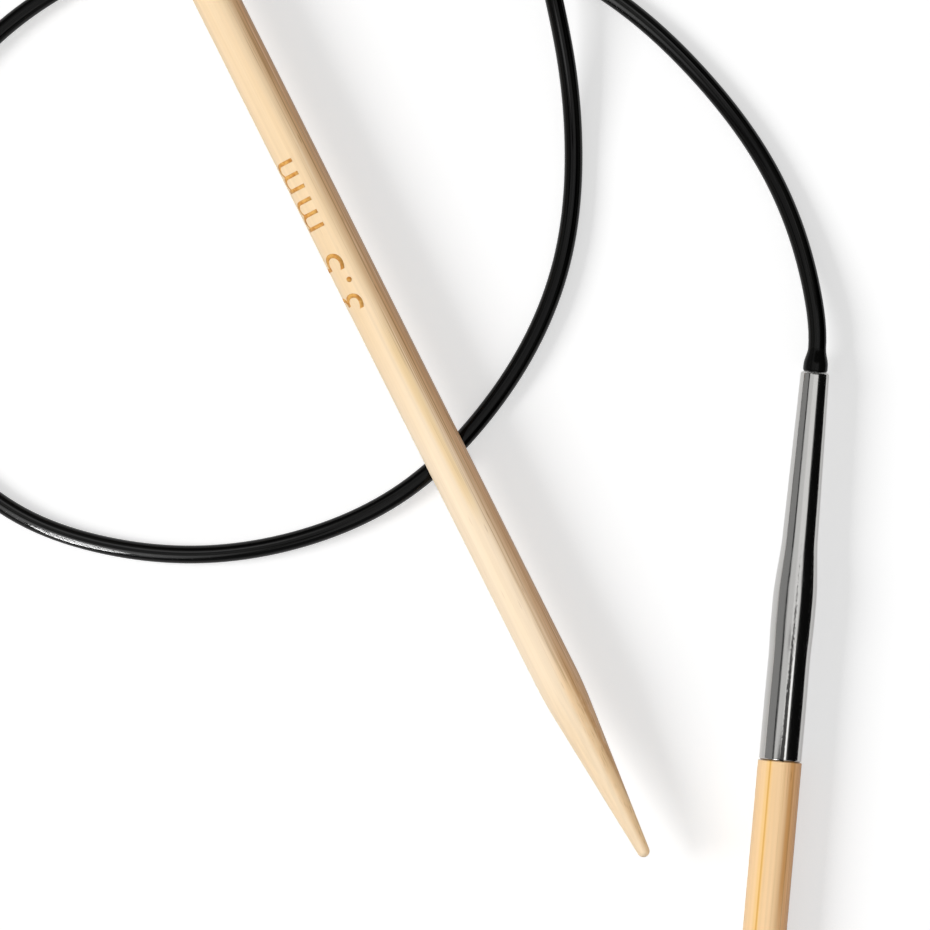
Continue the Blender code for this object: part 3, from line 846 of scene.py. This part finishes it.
# Lamps: degrees up from the table on the left, metres away, metres across, watts, what it lights.
only_table = bpy.data.collections.new("only_table")
only_table.objects.link(table)
all_but_table = bpy.data.collections.new("all_but_table")
all_but_table.objects.link(table)
all_but_table.collection_objects[0].light_linking.link_state = "EXCLUDE"
for name, height_deg, distance, size, power, lit in (
    ("top_soft_box", 95.0, 1.2, 0.5, 7.9, all_but_table),
    ("left_soft_box", 26.0, 0.9, 0.42, 4.45, all_but_table),
    ("table_lamp", 34.0, 1.6, 0.62, 16.6, only_table),
):
    lamp_data = bpy.data.lights.new(name, "AREA")
    lamp_data.shape = "SQUARE"
    lamp_data.size = size
    lamp_data.energy = power
    lamp = bpy.data.objects.new(name, lamp_data)
    angle = math.radians(height_deg)
    lamp_place = Vector((-math.cos(angle), 0.0, math.sin(angle))) * distance
    lamp.location = LOOK_AT + lamp_place
    lamp.rotation_euler = lamp_place.to_track_quat("Z", "Y").to_euler()
    lamp.visible_camera = False
    lamp.visible_glossy = False
    lamp.light_linking.receiver_collection = lit
    scene.collection.objects.link(lamp)


def glossy_card(name, brightness, place, turn_deg, size, sides=4, fade=0.0):
    """A glowing or dark card that only reflections see: square cut, or oval with many sides.

    An oval's glow fades out over the given share of its radius."""
    bpy.ops.object.select_all(action="DESELECT")
    bpy.ops.mesh.primitive_circle_add(vertices=sides, radius=1.0, fill_type="NGON")
    card = bpy.context.object
    card.name = name
    if sides == 4:
        card.rotation_euler = (0.0, 0.0, math.radians(45.0))
        bpy.ops.object.transform_apply(rotation=True)
    card.dimensions = (*size, 0.0)
    card.rotation_euler = [math.radians(degrees) for degrees in turn_deg]
    card.location = place
    card.visible_camera = False
    card.visible_diffuse = False
    card.visible_shadow = False
    paint = bpy.data.materials.new(name)
    paint.use_nodes = True
    paint.node_tree.nodes.clear()
    tree = paint.node_tree
    glow = add_node(tree, "ShaderNodeEmission", {"Strength": brightness})
    if fade:
        middle = add_node(tree, "ShaderNodeTexCoord", {})
        away = add_node(tree, "ShaderNodeVectorMath", {0: middle.outputs["Object"]}, operation="LENGTH")
        fall = add_node(tree, "ShaderNodeMapRange",
                        {0: away.outputs[1], 1: 1.0, 2: 1.0 - fade, 3: 0.0, 4: brightness},
                        interpolation_type="SMOOTHSTEP")
        tree.links.new(fall.outputs[0], glow.inputs["Strength"])
    add_node(tree, "ShaderNodeOutputMaterial", {"Surface": glow.outputs[0]})
    card.data.materials.append(paint)
    return card


# Upright cards all round: the way each stands, the degrees from straight up at which the
# needle sees its top and bottom edges, and its brightness.
CARD_DISTANCE = 0.6
CARD_LENGTH = 2.4
CARD_BLACK = 0.005
CARD_GREY = 0.37
for name, way_deg, from_deg, to_deg, brightness in (
    ("black_card", 0.0, 33.0, 89.95, CARD_BLACK),
    ("grey_card", 180.0, 46.0, 89.9, CARD_GREY),
    ("edge_card", 180.0, 36.0, 45.9, 0.03),
    ("haze_card", 180.0, 8.0, 35.9, 0.92),
    ("fade_card", 0.0, 27.0, 32.9, 0.30),
    ("far_card", 90.0, 48.0, 89.9, 0.15),
    ("near_card", -90.0, 46.0, 89.9, 0.30),
):
    way = math.radians(way_deg)
    card_top = CARD_DISTANCE / math.tan(math.radians(from_deg))
    card_bottom = CARD_DISTANCE / math.tan(math.radians(to_deg))
    card_place = (CARD_DISTANCE * math.cos(way), CARD_DISTANCE * math.sin(way),
                  0.5 * (card_top + card_bottom))
    glossy_card(name, brightness, card_place, (90.0, 0.0, way_deg + 90.0),
                (CARD_LENGTH, card_top - card_bottom))

# A black card lies on the table's right, a small grey one stands close to the right ferrule,
# and a wide bright one hangs overhead.
for name, brightness, card_place, turn_deg, size in (
    ("lying_black_card", CARD_BLACK, (0.319, 0.0, 0.05 * MM), (0.0, 0.0, 0.0), (0.55, CARD_LENGTH)),
    ("low_grey_card", CARD_GREY, (27.0 * MM, 9.0 * MM, 3.2 * MM), (90.0, 0.0, 90.0),
     (34.0 * MM, 1.75 * MM)),
    ("sky_card", 1.15, (0.25, 0.0, 1.0), (0.0, 0.0, 0.0), (0.6, CARD_LENGTH)),
):
    glossy_card(name, brightness, card_place, turn_deg, size)

# Glowing ovals: a streak with its halo and a second, softer band on the cord, and a glint on
# the ferrules. Each has its brightness, its way, its lean from straight up and its distance.
STREAK_WAY_DEG = -113.2
GLOW_SIDES = 32
for name, brightness, way_deg, lean_deg, distance, size, fade, lit_pieces in (
    ("streak_lamp", 220.0, STREAK_WAY_DEG, 60.0, 0.5, (0.138, 0.46), 0.12, [cord]),
    ("streak_halo", 9.0, STREAK_WAY_DEG - 2.3, 45.0, 0.6, (0.46, 1.0), 0.8, [cord]),
    ("back_glow", 3.5, 77.0, 31.0, 0.6, (0.58, 0.30), 0.5, [cord]),
    ("ferrule_glint", 8.0, STREAK_WAY_DEG, 60.0, 0.5, (0.16, 0.42), 0.5, ferrules),
):
    way = math.radians(way_deg)
    lean = math.radians(lean_deg)
    card_way = Vector((math.sin(lean) * math.cos(way), math.sin(lean) * math.sin(way), math.cos(lean)))
    card = glossy_card(name, brightness, card_way * distance, (lean_deg, 0.0, way_deg + 90.0), size,
                       sides=GLOW_SIDES, fade=fade)
    lit = bpy.data.collections.new(f"lit_by_{name}")
    for piece in lit_pieces:
        lit.objects.link(piece)
    card.light_linking.receiver_collection = lit
